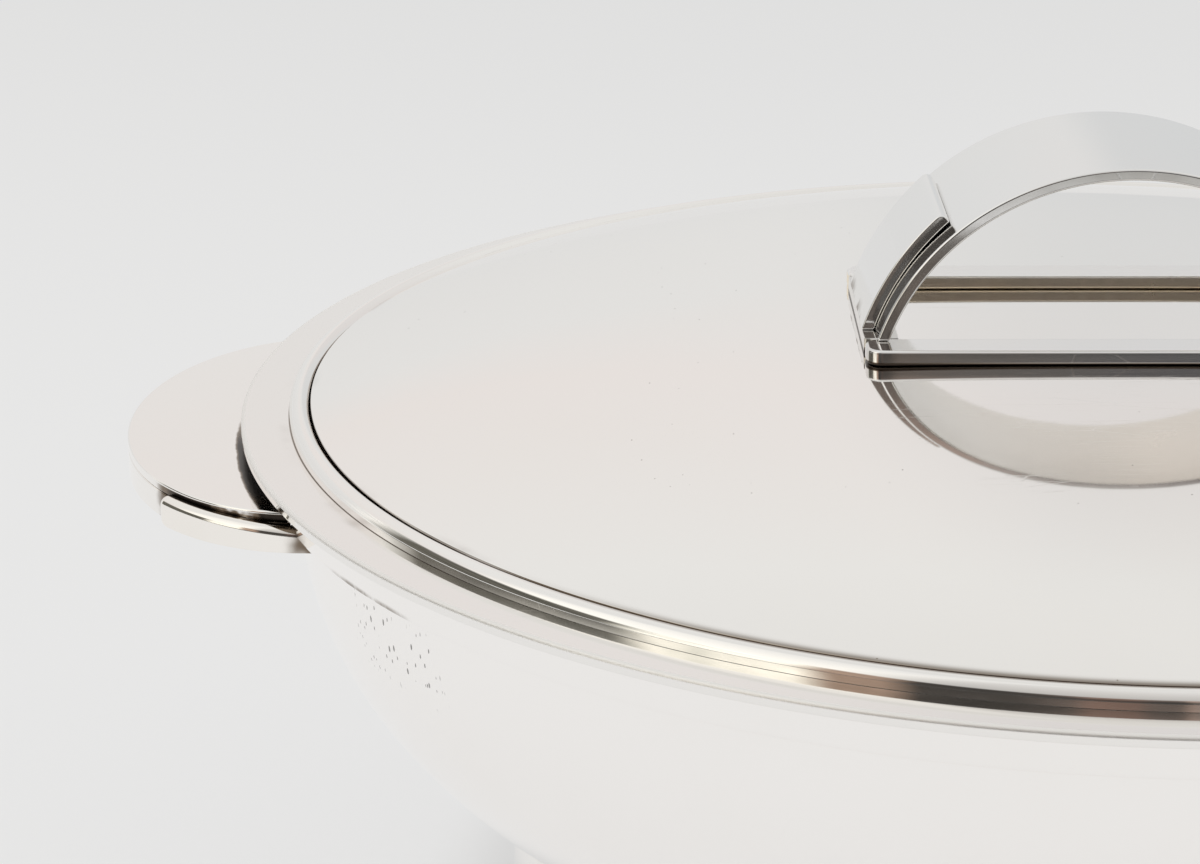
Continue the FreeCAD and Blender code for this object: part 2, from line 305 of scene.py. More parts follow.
def bowl_band():
    inner = BOWL_HIGH.x + JOINT
    return turned("bowl_band_ring", rounded_outline([
        (inner, BAND_LOW.z, 0.15), (BAND_HIGH.x, BAND_LOW.z, 0.5),
        (BAND_HIGH.x, BAND_HIGH.z, 0.15), (inner, BAND_HIGH.z, 0.15)]))


def foot_ring():
    outer = FOOT_HIGH.x
    inner = outer - FOOT_WALL
    return turned("foot_ring_strip", rounded_outline([
        (inner, FOOT_LOW.z, 0.4), (outer, FOOT_LOW.z, 0.6),
        (outer, bowl_height_at(outer) - JOINT, 0.1), (inner, bowl_height_at(inner) - JOINT, 0.1)]))


# ---------------------------------------------------------------- handles, drawn on the -X side
def ear_point(degrees, offset):
    """Point of the ear's outline, 90 to 270 degrees from its +Y end to its -Y end, moved out by offset."""
    angle = math.radians(degrees)
    normal = Vector((math.cos(angle) / EAR_REACH, math.sin(angle) / EAR_HALF_WIDTH)).normalized()
    return Vector((-EAR_CENTRE + EAR_REACH * math.cos(angle) + offset * normal.x,
                   EAR_HALF_WIDTH * math.sin(angle) + offset * normal.y))


def ear_outline(offset):
    """Half of the ear's outline moved out by offset, from the band at +Y round to the band at -Y."""
    points = [ear_point(a, offset) for a in steps_between(90, 270, 180)]
    return [p for p in points if p.length > BAND_HIGH.x + JOINT]


def band_arc(half_width):
    """The band's outside, from -Y round to +Y, where the ear is fixed to it."""
    radius = BAND_HIGH.x + JOINT
    reach = math.asin(half_width / radius)
    angles = steps_between(-reach, reach, 40)
    return [Vector((-radius * math.cos(a), radius * math.sin(a))) for a in angles]


def placed_handle(piece, side):
    """Right-hand pieces are mirror images of the left-hand ones."""
    return mirrored(piece, 0) if side == "right" else piece


def ear_plate(side):
    outline = ear_outline(0.0)
    arc = band_arc(outline[0].y)
    piece = prism(f"{side}_handle_ear", outline + arc[1:-1], PLATE_LOW.z, PLATE_HIGH.z, lying)
    return bevelled(placed_handle(piece, side), 0.3)


def ear_skirt(side):
    outer = ear_outline(0.0)
    inner = ear_outline(-EAR_SKIRT)
    inner.reverse()
    piece = prism(f"{side}_handle_wall", outer + inner, SKIRT_LOW.z, SKIRT_HIGH.z, lying)
    return bevelled(placed_handle(piece, side), 0.2, steps=3)


def ear_strap_line():
    """Pairs of inner and outer points along the strap, close together at its free end."""
    line = []
    for share in steps_between(0, 1, 96):
        degrees = EAR_STRAP_START + (270 - EAR_STRAP_START) * share ** 2
        line.append((ear_point(degrees, JOINT), ear_point(degrees, JOINT + EAR_STRAP)))
    inner, outer = line[-1]
    into_bowl = 0.1
    end = -math.sqrt(BOWL_HIGH.x ** 2 - inner.y ** 2) - into_bowl
    for x in steps_between(inner.x, end, 8)[1:]:
        line.append((Vector((x, inner.y)), Vector((x, outer.y))))
    return line


def ear_strap_section(travelled, share):
    """The strap's (outwards, height) section at this distance from its free end, a share of its length."""
    top = EAR_STRAP_HIGH.z - quarter_round(travelled, 1.1) - EAR_STRAP_FALL * share ** 2.5
    low = EAR_STRAP_LOW.z + EAR_STRAP_LIFT * (1 - share) + quarter_round(travelled, 2.2)
    width = EAR_STRAP - 0.8 * quarter_round(travelled, 1.4)
    lip = min(EAR_STRAP_LIP, 0.7 * width, 0.45 * (top - low))
    lower_edge = min(0.35, 0.3 * width)
    return rounded_outline([(0, low, 0.05), (width, low, lower_edge), (width, top, lip), (0, top, 0.1)])


def ear_strap(side, end):
    """Second layer of strip outside the skirt: rounded at its free end, with a rolled upper lip.

    Towards the bowl its upper edge falls away a little.
    """
    line = ear_strap_line()
    length = sum((after[0] - here[0]).length for here, after in zip(line, line[1:]))
    travelled = 0.0
    stations = []
    previous = line[0][0]
    for inner, outer in line:
        travelled += (inner - previous).length
        previous = inner
        outwards = (outer - inner).normalized()
        section = ear_strap_section(travelled, travelled / length)
        stations.append([(inner + outwards * p.x).to_3d() + Vector((0, 0, p.y)) for p in section])
    piece = strip(f"{side}_handle_strip_{end}", stations)
    if end == "back":
        mirrored(piece, 1)
    return weighted(placed_handle(piece, side))


# ---------------------------------------------------------------- lid
def lid_height(radius):
    """Height of the crown's upper face."""
    return LID_EDGE_TOP + (DOME_HIGH.z - LID_EDGE_TOP) * (1 - (radius / DOME_HIGH.x) ** LID_POWER)


def lid_dome():
    edge = DOME_HIGH.x
    upper = [Vector((radius, lid_height(radius))) for radius in steps_between(0, edge, 96)]
    lower = [Vector((p.x, p.y - LID_SHEET)) for p in reversed(upper)]
    round_start = Vector((edge - LID_EDGE_ROUND, lid_height(edge - LID_EDGE_ROUND)))
    upper[-1] = round_start
    for turn in steps_between(0, math.pi / 2, 5)[1:]:
        upper.append(round_start + LID_EDGE_ROUND * Vector((math.sin(turn), math.cos(turn) - 1)))
    return turned("lid_crown_sheet", upper + lower)


def lid_bead():
    """Convex bead round the lid's edge, with a shallow groove inside it and a flat tail under the sheet."""
    bottom = RIM_TOP + SEAT
    outer = BEAD_HIGH.x
    crest = BEAD_HIGH.z
    side_top = RIM_TOP + BEAD_SIDE
    groove = DOME_HIGH.x + GROOVE_WIDTH
    groove_floor = LID_EDGE_TOP - GROOVE_DEPTH
    tail = RIM_TOP + 0.7
    chamfer = 0.012
    profile = [Vector((BEAD_TAIL_RADIUS, bottom)), Vector((outer - chamfer, bottom)),
               Vector((outer, bottom + chamfer)), Vector((outer, side_top - 0.03))]
    first = math.radians(26)
    for angle in steps_between(first, math.pi / 2, 14):
        across = math.cos(angle) / math.cos(first)
        rise = (math.sin(angle) - math.sin(first)) / (1 - math.sin(first))
        profile.append(Vector((BEAD_CREST_RADIUS + (outer - BEAD_CREST_RADIUS) * across,
                               side_top + (crest - side_top) * rise)))
    inner_run = BEAD_CREST_RADIUS - groove
    inner_fall = 0.85
    for share in steps_between(0, 1, 10)[1:]:
        profile.append(Vector((BEAD_CREST_RADIUS - inner_run * share, crest - inner_fall * share ** 2)))
    profile += [Vector((groove, groove_floor)), Vector((DOME_HIGH.x + JOINT, groove_floor - 0.06)),
                Vector((DOME_HIGH.x + JOINT, tail)), Vector((BEAD_TAIL_RADIUS, tail))]
    return turned("lid_bead_wire", profile)


def lid_collar():
    outer = COLLAR_HIGH.x
    inner = outer - COLLAR_WALL
    return turned("lid_collar_ring", rounded_outline([
        (inner, COLLAR_LOW.z, 0.35), (outer, COLLAR_LOW.z, 0.35),
        (outer, COLLAR_HIGH.z, 0.2), (inner, COLLAR_HIGH.z, 0.2)]))


# ---------------------------------------------------------------- finial
def arch_point(degrees, offset):
    """(x, z) of the arch's outside, 0 degrees at +X and 90 at the top, moved out by offset."""
    angle = math.radians(degrees)
    rise = ARCH_HIGH.z - ARCH_CENTRE
    normal = Vector((math.cos(angle) / ARCH_HALF_SPAN, math.sin(angle) / rise)).normalized()
    outside = Vector((ARCH_HALF_SPAN * math.cos(angle), ARCH_CENTRE + rise * math.sin(angle)))
    return outside + normal * offset


def arch_angle_at(height, offset):
    """Degrees round the arch where its outside, moved out by offset, is at this height."""
    low, high = 0.0, 60.0
    for _ in range(40):
        middle = (low + high) / 2
        if arch_point(middle, offset).y < height:
            low = middle
        else:
            high = middle
    return (low + high) / 2


def finial_arch(inner_material):
    """The arch, with its first material on the inner face and room for a second everywhere else."""
    foot = ARCH_LOW.z
    outer_angle = arch_angle_at(foot, 0)
    inner_angle = arch_angle_at(foot, -ARCH_STRIP)
    outline = [arch_point(a, 0) for a in steps_between(outer_angle, 180 - outer_angle, 144)]
    outline += [arch_point(a, -ARCH_STRIP) for a in steps_between(180 - inner_angle, inner_angle, 144)]
    piece = prism("finial_arch_strip", outline, ARCH_LOW.y, ARCH_HIGH.y, standing)
    piece.data.materials.append(inner_material)
    middle = Vector((0, 0, ARCH_CENTRE * MM))
    for polygon in piece.data.polygons:
        faces_in = polygon.normal.dot(polygon.center - middle) < 0
        polygon.material_index = 0 if faces_in and abs(polygon.normal.y) < 0.5 else 1
    return bevelled(piece, 0.34, angle=50)


def finial_strap(side):
    """Second layer outside one leg, its rounded free end sprung slightly away from the arch."""
    foot = STRAP_LOW.z
    end = 180 - FINIAL_STRAP_END
    start = 180 - arch_angle_at(foot, JOINT)
    outer_start = 180 - arch_angle_at(foot, JOINT + FINIAL_STRAP)
    soldered = 0.3              # the share of its length that lies close to the arch
    tip_round = 1.0

    def sprung(angle):
        share = max((start - angle) / (start - end) - soldered, 0.0) / (1 - soldered)
        return JOINT + FINIAL_SPRING * share ** 1.6

    def outside(angle):
        to_tip = (arch_point(angle, 0) - arch_point(end, 0)).length
        return sprung(angle) + FINIAL_STRAP - quarter_round(to_tip, tip_round)

    inner = [arch_point(a, sprung(a)) for a in steps_between(start, end, 72)]
    outer = []
    for share in steps_between(0, 1, 72):
        angle = end + (outer_start - end) * share ** 2
        outer.append(arch_point(angle, outside(angle)))
    piece = prism(f"finial_strap_layer_{side}", inner + outer, STRAP_LOW.y, STRAP_HIGH.y, standing)
    if side == "right":
        mirrored(piece, 0)
    return bevelled(piece, 0.68, steps=8, angle=50)


def bar_block(name, low, high, corner):
    """A flat bar with rounded corners, whose underside follows the lid."""
    outline = rounded_outline([(low.x, low.y, corner), (high.x, low.y, corner),
                               (high.x, high.y, corner), (low.x, high.y, corner)])
    shape = bmesh.new()
    spacing = 2.5
    dense = []
    for here, after in zip(outline, outline[1:] + outline[:1]):
        count = max(1, int((after - here).length / spacing))
        dense += [here.lerp(after, i / count) for i in range(count)]
    bottom = [shape.verts.new(Vector((p.x, p.y, lid_height(p.length) + JOINT)) * MM) for p in dense]
    top = [shape.verts.new(Vector((p.x, p.y, high.z)) * MM) for p in dense]
    shape.faces.new(bottom)
    shape.faces.new(top)
    for i, vert in enumerate(bottom):
        j = (i + 1) % len(bottom)
        shape.faces.new((vert, bottom[j], top[j], top[i]))
    bmesh.ops.recalc_face_normals(shape, faces=shape.faces)
    return new_piece(name, shape)


def finial_bar(side):
    piece = bar_block(f"finial_rail_{side}", BAR_LOW, BAR_HIGH, RAIL_CORNER)
    if side == "back":
        mirrored(piece, 1)
    return bevelled(piece, 0.45, steps=5)


def finial_end(side):
    piece = bar_block(f"finial_tie_{side}", END_LOW, END_HIGH, 0.05)
    if side == "right":
        mirrored(piece, 0)
    return bevelled(piece, 0.3)


# ---------------------------------------------------------------- materials
class Nodes:
    """A short way to write the nodes of a material or of the world."""

    def __init__(self, tree):
        self.tree = tree
        tree.nodes.clear()

    def add(self, kind, inputs=None, **settings):
        node = self.tree.nodes.new(kind)
        for key, value in settings.items():
            setattr(node, key, value)
        for key, value in (inputs or {}).items():
            self.feed(node.inputs[key], value)
        return node

    def feed(self, socket, value):
        """Links the socket to another node's socket, or sets it to a constant."""
        if isinstance(value, bpy.types.NodeSocket):
            self.tree.links.new(value, socket)
        else:
            socket.default_value = value

    def math(self, operation, a, b=0.0):
        return self.add("ShaderNodeMath", {0: a, 1: b}, operation=operation).outputs[0]

    def plus(self, a, b):
        return self.math("ADD", a, b)

    def minus(self, a, b):
        return self.math("SUBTRACT", a, b)

    def times(self, first, *others):
        for other in others:
            first = self.math("MULTIPLY", first, other)
        return first

    def largest(self, first, *others):
        for other in others:
            first = self.math("MAXIMUM", first, other)
        return first

    def absolute(self, value):
        return self.math("ABSOLUTE", value)

    def hypotenuse(self, a, b):
        return self.math("SQRT", self.plus(self.times(a, a), self.times(b, b)))

    def ramp(self, factor, *stops):
        node = self.add("ShaderNodeValToRGB", {"Fac": factor})
        elements = node.color_ramp.elements
        while len(elements) < len(stops):
            elements.new(0.5)
        for element, (position, colour) in zip(elements, stops):
            element.position = position
            element.color = (*colour, 1.0)
        return node.outputs["Color"]

    def fade(self, value, off, on):
        """0 at off and beyond it, 1 at on and beyond it, smooth between them; either may be the larger."""
        node = self.add("ShaderNodeMapRange", {"Value": value, "From Min": off, "From Max": on,
                                               "To Min": 0.0, "To Max": 1.0},
                        interpolation_type="SMOOTHSTEP")
        return node.outputs["Result"]

    def fade_mm(self, value, off, on):
        """The same for a value in metres, between two places in millimetres."""
        return self.fade(value, off * MM, on * MM)

    def moved(self, vector, offset):
        return self.add("ShaderNodeVectorMath", {0: vector, 1: offset}, operation="ADD").outputs[0]

    def noise(self, vector, scale, detail, roughness, seed):
        place = self.moved(vector, (seed, seed * 0.7, seed * 1.3))
        node = self.add("ShaderNodeTexNoise", {"Vector": place, "Scale": scale, "Detail": detail,
                                               "Roughness": roughness}, noise_dimensions="3D")
        return node.outputs["Fac"]

    def mix(self, factor, a, b, blend="MIX"):
        """Colour a where the factor is 0; where it is 1, colour b or a blended with b."""
        node = self.add("ShaderNodeMix", data_type="RGBA", blend_type=blend)
        self.feed(node.inputs[0], factor)
        for index, colour in ((6, a), (7, b)):
            self.feed(node.inputs[index], (*colour, 1.0) if isinstance(colour, tuple) else colour)
        return node.outputs[2]


class Surface(Nodes):
    """A material's nodes, and the place, x, y, z and distance from the Z axis of the point they shade."""

    def __init__(self, name):
        self.material = bpy.data.materials.new(name)
        self.material.use_nodes = True
        super().__init__(self.material.node_tree)
        self.place = self.add("ShaderNodeTexCoord").outputs["Object"]
        self.x, self.y, self.z = self.add("ShaderNodeSeparateXYZ", {0: self.place}).outputs[:3]
        flat = self.add("ShaderNodeCombineXYZ", {0: self.x, 1: self.y}).outputs[0]
        self.radius = self.add("ShaderNodeVectorMath", {0: flat}, operation="LENGTH").outputs["Value"]

    def finish(self, shader):
        output = self.add("ShaderNodeOutputMaterial", {"Surface": shader.outputs[0]})
        output.is_active_output = True
        return self.material


SILVER = (0.955, 0.935, 0.910)
BRIGHT_SILVER = (0.985, 0.965, 0.945)
DULL_SILVER = (0.885, 0.880, 0.870)
RIM_SILVER = (0.925, 0.908, 0.885)
CREAM_SILVER = (0.985, 0.955, 0.910)
WORN_SILVER = (0.900, 0.870, 0.830)
# painted gold reflection: the colour of the back bar's faces below its top
GOLD_GLINT_SILVER = (1.000, 0.880, 0.680)
WARM_SILVER = (0.935, 0.895, 0.845)
# Crevice colours: brown tarnish and black soot, also used for painted shade and painted shadow
TARNISH_AND_SHADE = (0.20, 0.155, 0.115)
SOOT_AND_SHADOW = (0.035, 0.028, 0.024)

# How much each kind of wear adds to the roughness of the polish
FINE_WEAR = 0.03
SCRATCH_WEAR = 0.12
BRUSHED_WEAR = 0.4
TARNISH_WEAR = 0.28
PIT_WEAR = 0.4

# Depths of the surface's unevenness
WAVE_DEPTH = 0.030          # left by planishing
RIPPLE_DEPTH = 0.0024
FILING_DEPTH = 0.040
SCRATCH_DEPTH = 0.0015
PIT_DEPTH = 0.060


def specks(nodes, place, scale, size, seed):
    """Sparse round dots: size is the dot's share of a cell."""
    cells = nodes.add("ShaderNodeTexVoronoi", {"Vector": nodes.moved(place, (seed, seed, seed)),
                                               "Scale": scale, "Randomness": 1.0})
    return nodes.fade(cells.outputs["Distance"], size, size * 0.6)


def scratches(nodes, scale, width, seed):
    """Fine straight hairlines: edges of long thin cells, broken up so that they start and stop."""
    stretched = nodes.add("ShaderNodeMapping", {"Vector": nodes.place, "Rotation": (0.0, 0.0, seed),
                                                "Scale": (1.0, 9.0, 1.0)}).outputs[0]
    cells = nodes.add("ShaderNodeTexVoronoi", {"Vector": stretched, "Scale": scale},
                      feature="DISTANCE_TO_EDGE")
    line = nodes.fade(cells.outputs["Distance"], width, 0.0)
    broken = nodes.fade(nodes.noise(nodes.place, 55.0, 2.0, 0.5, seed * 3 + 1), 0.56, 0.66)
    return nodes.times(line, broken)


def silver_colour(nodes, tone, low_tone, stain):
    """The tone with a little warm bloom, and another tone below a height."""
    bloom = nodes.fade(nodes.noise(nodes.place, 14.0, 5.0, 0.6, 3.1), 0.42, 0.75)
    if low_tone:
        height, tone_below = low_tone
        tone = nodes.mix(nodes.fade_mm(nodes.z, height, height - 0.3), tone, tone_below)
    return nodes.mix(nodes.times(bloom, stain), tone, WARM_SILVER)


def silver_roughness(nodes, roughness, lines):
    haze = nodes.noise(nodes.place, 30.0, 6.0, 0.65, 8.4)
    fine = nodes.fade(nodes.noise(nodes.place, 420.0, 3.0, 0.6, 5.0), 0.55, 0.8)
    rough = nodes.plus(nodes.times(haze, roughness * 0.9), roughness * 0.45)
    rough = nodes.plus(rough, nodes.times(fine, FINE_WEAR))
    return nodes.plus(rough, nodes.times(lines, SCRATCH_WEAR))


def silver_height(nodes, wave, filed, lines):
    """Height of the surface over its mesh, in metres."""
    waves = nodes.times(nodes.noise(nodes.place, 26.0, 1.0, 0.4, 1.7), wave * WAVE_DEPTH * MM)
    ripples = nodes.times(nodes.noise(nodes.place, 110.0, 1.0, 0.4, 6.2), wave * RIPPLE_DEPTH * MM)
    height = nodes.minus(nodes.plus(waves, ripples), nodes.times(lines, SCRATCH_DEPTH * MM))
    if filed:
        filing = nodes.noise(nodes.place, 240.0, 1.0, 0.4, 7.7)
        height = nodes.plus(height, nodes.times(filing, filed * FILING_DEPTH * MM))
    return height


def silver(name, roughness=0.05, wave=1.0, tone=SILVER, stain=0.25, filed=0.0, crevices=None, pits=None,
           brushed=None, low_tone=None):
    """Polished silver: planished waves, hairline scratches, a little warm bloom, and tarnish and painted
    shade in the crevices.

    crevices(nodes) gives a mask in 0..1 of the tarnish and painted shade, pits one of a cluster of dark pits,
    and brushed one of places with a duller polish. filed adds the small waves of hand filing. low_tone is a
    height in millimetres and the colour below it.
    """
    nodes = Surface(name)
    lines = nodes.largest(scratches(nodes, 60.0, 0.012, 0.5), scratches(nodes, 45.0, 0.010, 2.1))
    colour = silver_colour(nodes, tone, low_tone, stain)
    rough = silver_roughness(nodes, roughness, lines)
    height = silver_height(nodes, wave, filed, lines)
    if brushed:
        rough = nodes.plus(rough, nodes.times(brushed(nodes), BRUSHED_WEAR))
    if crevices:
        # the crevices mask holds real tarnish and, in some places, painted shade, painted shadow and a
        # painted reflection
        dark = crevices(nodes)
        brown = nodes.mix(nodes.fade(dark, 0.0, 0.55), colour, TARNISH_AND_SHADE)
        colour = nodes.mix(nodes.fade(dark, 0.55, 1.0), brown, SOOT_AND_SHADOW)
        rough = nodes.plus(rough, nodes.times(dark, TARNISH_WEAR))
    if pits:
        hole = pits(nodes)
        colour = nodes.mix(hole, colour, SOOT_AND_SHADOW)
        rough = nodes.plus(rough, nodes.times(hole, PIT_WEAR))
        height = nodes.minus(height, nodes.times(hole, PIT_DEPTH * MM))
    bump = nodes.add("ShaderNodeBump", {"Height": height, "Strength": 1.0, "Distance": 1.0})
    return nodes.finish(nodes.add("ShaderNodeBsdfPrincipled", {"Base Color": colour, "Roughness": rough,
                                                               "Normal": bump.outputs[0], "Metallic": 1.0}))


# ---------------------------------------------------------------- where the tarnish gathers and where shade is painted
def near_circle(nodes, at, width):
    """1 on the circle of this radius about the Z axis, fading to 0 at width to either side."""
    away = nodes.absolute(nodes.minus(nodes.radius, at * MM))
    return nodes.fade_mm(away, width, width * 0.15)


def patchy(nodes, mask, low, high, scale, seed):
    """The mask where a noise is above high, and nothing where it is below low."""
    return nodes.times(mask, nodes.fade(nodes.noise(nodes.place, scale, 3.0, 0.6, seed), low, high))


def streaky(nodes, low, high):
    return nodes.fade(nodes.noise(nodes.place, 150.0, 3.0, 0.6, 4.4), low, high)


def between_angles(nodes, low, high, soft):
    """1 where the direction from the Z axis lies between two angles in degrees (0 at +X, -90 in front)."""
    angle = nodes.times(nodes.math("ARCTAN2", nodes.y, nodes.x), 180 / math.pi)
    past_low = nodes.fade(angle, low - soft, low + soft)
    return nodes.times(past_low, nodes.fade(angle, high + soft, high - soft))


def front_side(nodes):
    return nodes.fade_mm(nodes.y, -66, -104)


def rim_crevice(nodes):
    """A thin painted shadow line under the bead, smears beside it, and a darker brown tone under the rim
    above the handles.
    """
    not_in_front = nodes.minus(1.0, front_side(nodes))
    # painted shadow: a dark line on the rim at the foot of the bead, except in front
    corner = nodes.times(near_circle(nodes, BEAD_HIGH.x, 0.22), 0.5, not_in_front)
    smear = patchy(nodes, near_circle(nodes, BEAD_HIGH.x + 0.5, 2.0), 0.42, 0.75, 60.0, 2.0)
    at_left = nodes.plus(nodes.times(between_angles(nodes, -160, -132, 8), 0.16), 0.14)
    under = nodes.fade_mm(nodes.z, RIM_LOW.z + 0.25, RIM_LOW.z + 0.02)
    at_handle = nodes.fade_mm(nodes.absolute(nodes.y), 56, 46)
    return nodes.largest(corner, nodes.times(smear, at_left), nodes.times(under, at_handle, 0.62))


def rim_brushed(nodes):
    """The rim's outer edge, dulled by wear."""
    corner = nodes.fade_mm(nodes.radius, RIM_HIGH.x - 0.70, RIM_HIGH.x - 0.40)
    return nodes.times(corner, nodes.fade_mm(nodes.z, RIM_TOP - 0.60, RIM_TOP - 0.45))


def band_crevice(nodes):
    """Brown deposit under the rim and along the band's lower edge, at the left front only."""
    under_rim = nodes.fade_mm(nodes.z, BAND_HIGH.z - 2.6, BAND_HIGH.z - 0.3)
    under_rim = nodes.times(patchy(nodes, under_rim, 0.30, 0.70, 330.0, 3.0), 0.36)
    lower = nodes.fade_mm(nodes.z, BAND_LOW.z + 1.1, BAND_LOW.z + 0.3)
    lower = nodes.times(patchy(nodes, lower, 0.20, 0.62, 330.0, 5.0), 0.42)
    return nodes.times(nodes.largest(under_rim, lower), between_angles(nodes, -153, -144, 2.5))


def bowl_crevice(nodes):
    """Brown deposit under the band at the left front."""
    under_band = nodes.fade_mm(nodes.z, BAND_LOW.z - 2.2, BAND_LOW.z - 0.1)
    under_band = patchy(nodes, under_band, 0.30, 0.70, 300.0, 4.0)
    return nodes.times(under_band, 0.5, between_angles(nodes, -156, -150, 3))


def bowl_pits(nodes):
    """Small upright pits in the plate at the left front, below the band."""
    level = nodes.times(nodes.fade_mm(nodes.z, 55.5, 57.5), nodes.fade_mm(nodes.z, 66.5, 65.0))
    cluster = nodes.fade(nodes.noise(nodes.place, 170.0, 2.0, 0.5, 2.5), 0.34, 0.45)
    where = nodes.times(between_angles(nodes, -154.5, -143.5, 1.0), level, cluster)
    tall = nodes.add("ShaderNodeMapping", {"Vector": nodes.place, "Scale": (1.0, 1.0, 0.45)}).outputs[0]
    fine = specks(nodes, tall, 1150.0, 0.19, 1.0)
    large = specks(nodes, tall, 680.0, 0.17, 2.0)
    return nodes.times(nodes.largest(large, fine), where, 0.72)


def groove_dirt(nodes, mask, least):
    """Dirt in the groove between the bead and the sheet, thicker in some places than in others."""
    thick = nodes.fade(nodes.noise(nodes.place, 22.0, 3.0, 0.6, 1.5), 0.35, 0.65)
    return nodes.times(mask, nodes.plus(nodes.times(thick, 0.4), least))


def bead_crevice(nodes):
    """The bead's side of the groove, with painted shade beside it at the front."""
    groove = nodes.fade_mm(nodes.radius, DOME_HIGH.x + 0.34, DOME_HIGH.x + 0.14)
    # painted shade: darker on the bead's inner slope, in front only
    bloom = nodes.fade_mm(nodes.radius, BEAD_CREST_RADIUS + 0.42, BEAD_CREST_RADIUS - 0.25)
    return nodes.largest(groove_dirt(nodes, groove, 0.3), nodes.times(bloom, front_side(nodes), 0.50))


def dome_crevice(nodes):
    """The lid's side of the groove, with painted shade beside it at the front, and black specks on the crown.
    """
    # painted shade: darker towards the lid's edge, in front only
    bloom = nodes.fade_mm(nodes.radius, DOME_HIGH.x - 1.8, DOME_HIGH.x)
    bloom = nodes.times(bloom, bloom, front_side(nodes), 0.40)
    edge = nodes.fade_mm(nodes.radius, DOME_HIGH.x - 0.10, DOME_HIGH.x - 0.02)
    spill = nodes.fade_mm(nodes.radius, DOME_HIGH.x - 1.6, DOME_HIGH.x - 0.1)
    spill = nodes.times(patchy(nodes, spill, 0.5, 0.75, 45.0, 7.0), 0.22)
    clusters = nodes.fade(nodes.noise(nodes.place, 45.0, 2.0, 0.5, 9.0), 0.56, 0.60)
    dots = nodes.times(specks(nodes, nodes.place, 420.0, 0.055, 4.0), clusters, 0.6)
    return nodes.largest(bloom, groove_dirt(nodes, edge, 0.25), spill, dots)


def bar_crevice(nodes):
    """The dark line where the finial's base meets the lid, partly dirt and partly painted shadow, and duller
    ends.
    """
    lid = lid_height(30.0)
    # partly painted shadow: dark where the base meets the lid
    foot = nodes.fade_mm(nodes.z, lid + 0.55, lid + 0.28)
    ends = nodes.fade_mm(nodes.absolute(nodes.x), BAR_HIGH.x - 2.4, BAR_HIGH.x - 0.4)
    return nodes.largest(nodes.times(foot, 0.9), nodes.times(ends, 0.16))


def past_ear(nodes):
    """About how far a point is outside the ear's outline, in metres, on either side of the bowl."""
    half_axis = 33.0            # between the half ellipse's two half axes
    u = nodes.math("DIVIDE", nodes.minus(nodes.absolute(nodes.x), EAR_CENTRE * MM), EAR_REACH * MM)
    v = nodes.math("DIVIDE", nodes.y, EAR_HALF_WIDTH * MM)
    return nodes.times(nodes.minus(nodes.hypotenuse(u, v), 1.0), half_axis * MM)


def ear_crevice(nodes):
    """Painted shade on the ear's edge above the straps, and a painted dark reflection of the rim on the plate
    where it overhangs.
    """
    # painted shade in the groove above the straps
    on_edge = nodes.fade_mm(past_ear(nodes), -0.30, -0.12)
    upper = nodes.fade_mm(nodes.z, PLATE_HIGH.z - 0.30, PLATE_HIGH.z - 0.48)
    by_strap = nodes.fade_mm(nodes.absolute(nodes.y), 24.0, 30.5)
    beside = nodes.times(on_edge, upper, by_strap, streaky(nodes, 0.30, 0.50), 0.95)
    # painted dark reflection of the rim's underside on the plate
    forward = 1.0               # the painted reflection's edge is a circle a little in front of the rim's
    reach = nodes.hypotenuse(nodes.x, nodes.plus(nodes.y, forward * MM))
    ragged = nodes.times(nodes.minus(nodes.noise(nodes.place, 240.0, 3.0, 0.6, 5.5), 0.5), 0.6 * MM)
    under_rim = nodes.fade_mm(nodes.plus(reach, ragged), RIM_HIGH.x + 0.9, RIM_HIGH.x + 0.3)
    to_front = nodes.times(nodes.fade_mm(nodes.y, 4, -12), nodes.fade_mm(nodes.y, -40, -31))
    return nodes.largest(beside, nodes.times(under_rim, to_front, 0.93))


def strap_crevice(nodes):
    """Brown deposit where the handle's strap meets the bowl, and painted shade along its inner edge."""
    near_bowl = nodes.fade_mm(nodes.radius, 119.5, 116.5)
    near_bowl = nodes.times(patchy(nodes, near_bowl, 0.35, 0.7, 130.0, 8.0), 0.6)
    # painted shade in the groove between the strap and the skirt
    inner = nodes.fade_mm(past_ear(nodes), 0.85, 0.55)
    return nodes.largest(near_bowl, nodes.times(inner, streaky(nodes, 0.28, 0.48), 0.92))


def leg_crevice(nodes):
    """Deposit at the foot of the arch's legs."""
    low = nodes.fade_mm(nodes.z, STRAP_LOW.z + 2.5, STRAP_LOW.z)
    return nodes.times(patchy(nodes, low, 0.4, 0.7, 160.0, 3.3), 0.6)


# ---------------------------------------------------------------- the assembly
def finish_piece(piece, body, node, material):
    piece.data.materials.append(material)
    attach(piece, body)
    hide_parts(node)


